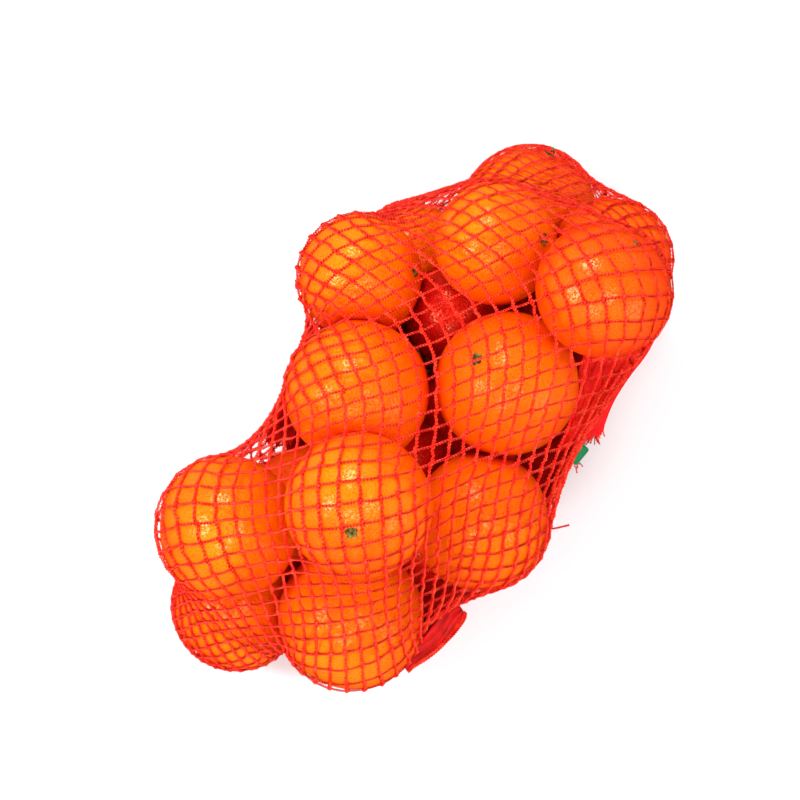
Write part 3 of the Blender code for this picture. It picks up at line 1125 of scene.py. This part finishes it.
def button_material():
    """Dry green and brown in patches, dull."""
    material, add, link, principled = shader("stem_button")
    place = add("ShaderNodeTexCoord")
    patches = add("ShaderNodeTexNoise", scale=420.0, detail=3.0)
    tint = add("ShaderNodeValToRGB")
    ramp(tint, ((0.35, (0.035, 0.018, 0.004)), (0.5, (0.12, 0.085, 0.012)),
                (0.66, (0.23, 0.23, 0.035))))
    link(place.outputs["Object"], patches.inputs["Vector"])
    link(patches.outputs["Fac"], tint.inputs["Fac"])
    link(tint.outputs["Color"], principled.inputs["Base Color"])
    principled.inputs["Roughness"].default_value = 0.75
    principled.inputs["Specular IOR Level"].default_value = 0.2
    return material


rng = np.random.default_rng(41)
stem_bases = np.array([np.array(orange.data.vertices[0].co) for orange in oranges])
star = button_faces()
buttons = joined([(button(k, rng), star, [k]) for k in range(len(fruit))])
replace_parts(new_piece("stem_buttons", *buttons[:2], button_material(), "stem_button"),
            "filled_net")

# %% [markdown]
# ## The clip
#
# The clip stays as the frame made it. It only gets a glossy green plastic.

# %% The clip's finish
clip_material, _, _, clip_shader = shader("clip_green")
clip_shader.inputs["Base Color"].default_value = (0.0, 0.19, 0.055, 1)
clip_shader.inputs["Roughness"].default_value = 0.35
clip_shader.inputs["Specular IOR Level"].default_value = 0.2
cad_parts["neck_clip"].material_slots[0].material = clip_material

# %% [markdown]
# ## Floor, light and camera
#
# The bag lies on a pale table. Small soft lights stand round it, more of them to the upper
# left, so that each orange has a few highlights, and a bright even sky fills the shadows.

# %% The stage
FLOOR_SIZE = 30.0


def stage_floor():
    """A large pale sheet just under the bag."""
    half = FLOOR_SIZE / 2
    mesh = bpy.data.meshes.new("floor")
    mesh.from_pydata([(-half, -half, 0), (half, -half, 0), (half, half, 0), (-half, half, 0)],
                     [], [(0, 1, 2, 3)])
    material, _, _, principled = shader("pale_floor")
    principled.inputs["Base Color"].default_value = (0.86, 0.86, 0.87, 1)
    principled.inputs["Roughness"].default_value = 0.9
    mesh.materials.append(material)
    floor = bpy.data.objects.new("floor", mesh)
    bpy.context.scene.collection.objects.link(floor)
    floor.visible_glossy = False


def area_light(name, place, target, size, watts):
    """A soft square light that faces a target and isn't seen itself."""
    data = bpy.data.lights.new(name, "AREA")
    data.size = size
    data.energy = watts
    light = bpy.data.objects.new(name, data)
    bpy.context.scene.collection.objects.link(light)
    back = unit(np.array(place, float) - np.array(target, float))
    side = unit(np.cross(UP if abs(back[2]) < 0.999 else (0, 1, 0), back))
    turn = np.stack([side, np.cross(back, side), back], -1)
    matrix = np.eye(4)
    matrix[:3, :3] = turn
    matrix[:3, 3] = place
    light.matrix_world = matrix.T
    light.visible_camera = False
    return light


stage_floor()
MIDDLE = np.array((0.004, -0.003, 0.07))
VIEW_TURN = -50.0            # degrees: the bag's long axis runs up to the right
LIGHT_AWAY = 1.7
# degrees from straight up, degrees round from the view's right, size in m, watts
LIGHTS = (
    (50, 108, 0.40, 16),
    (46, 180, 0.40, 16),
    (14, -20, 0.30, 7),
    (30, 245, 0.35, 8),
    (62, -25, 0.80, 7),
)
for number, (tilt, turn, size, watts) in enumerate(LIGHTS):
    way = direction(turn + VIEW_TURN, 90 - tilt)
    area_light(f"softbox_{number + 1}", MIDDLE + way * LIGHT_AWAY, MIDDLE, size, watts)

world = bpy.data.worlds.new("sky")
bpy.context.scene.world = world
world.use_nodes = True
world.node_tree.nodes["Background"].inputs["Color"].default_value = (1, 1, 1, 1)
world.node_tree.nodes["Background"].inputs["Strength"].default_value = 0.86
world.cycles_visibility.glossy = False

# %% The camera
CAMERA_HEIGHT = 6.0
VIEW_WIDTH = 0.4136
CAMERA_AIM = (0.0063, 0.0087)
camera_data = bpy.data.cameras.new("camera")
camera_data.sensor_width = 36.0
camera_data.clip_end = 50.0
camera_data.lens = 36.0 * (CAMERA_HEIGHT - MIDDLE[2]) / VIEW_WIDTH
camera = bpy.data.objects.new("camera", camera_data)
camera.location = (*CAMERA_AIM, CAMERA_HEIGHT)
camera.rotation_euler = (0, 0, math.radians(VIEW_TURN))
bpy.context.scene.collection.objects.link(camera)
bpy.context.scene.camera = camera
bpy.context.scene.view_settings.view_transform = "Standard"
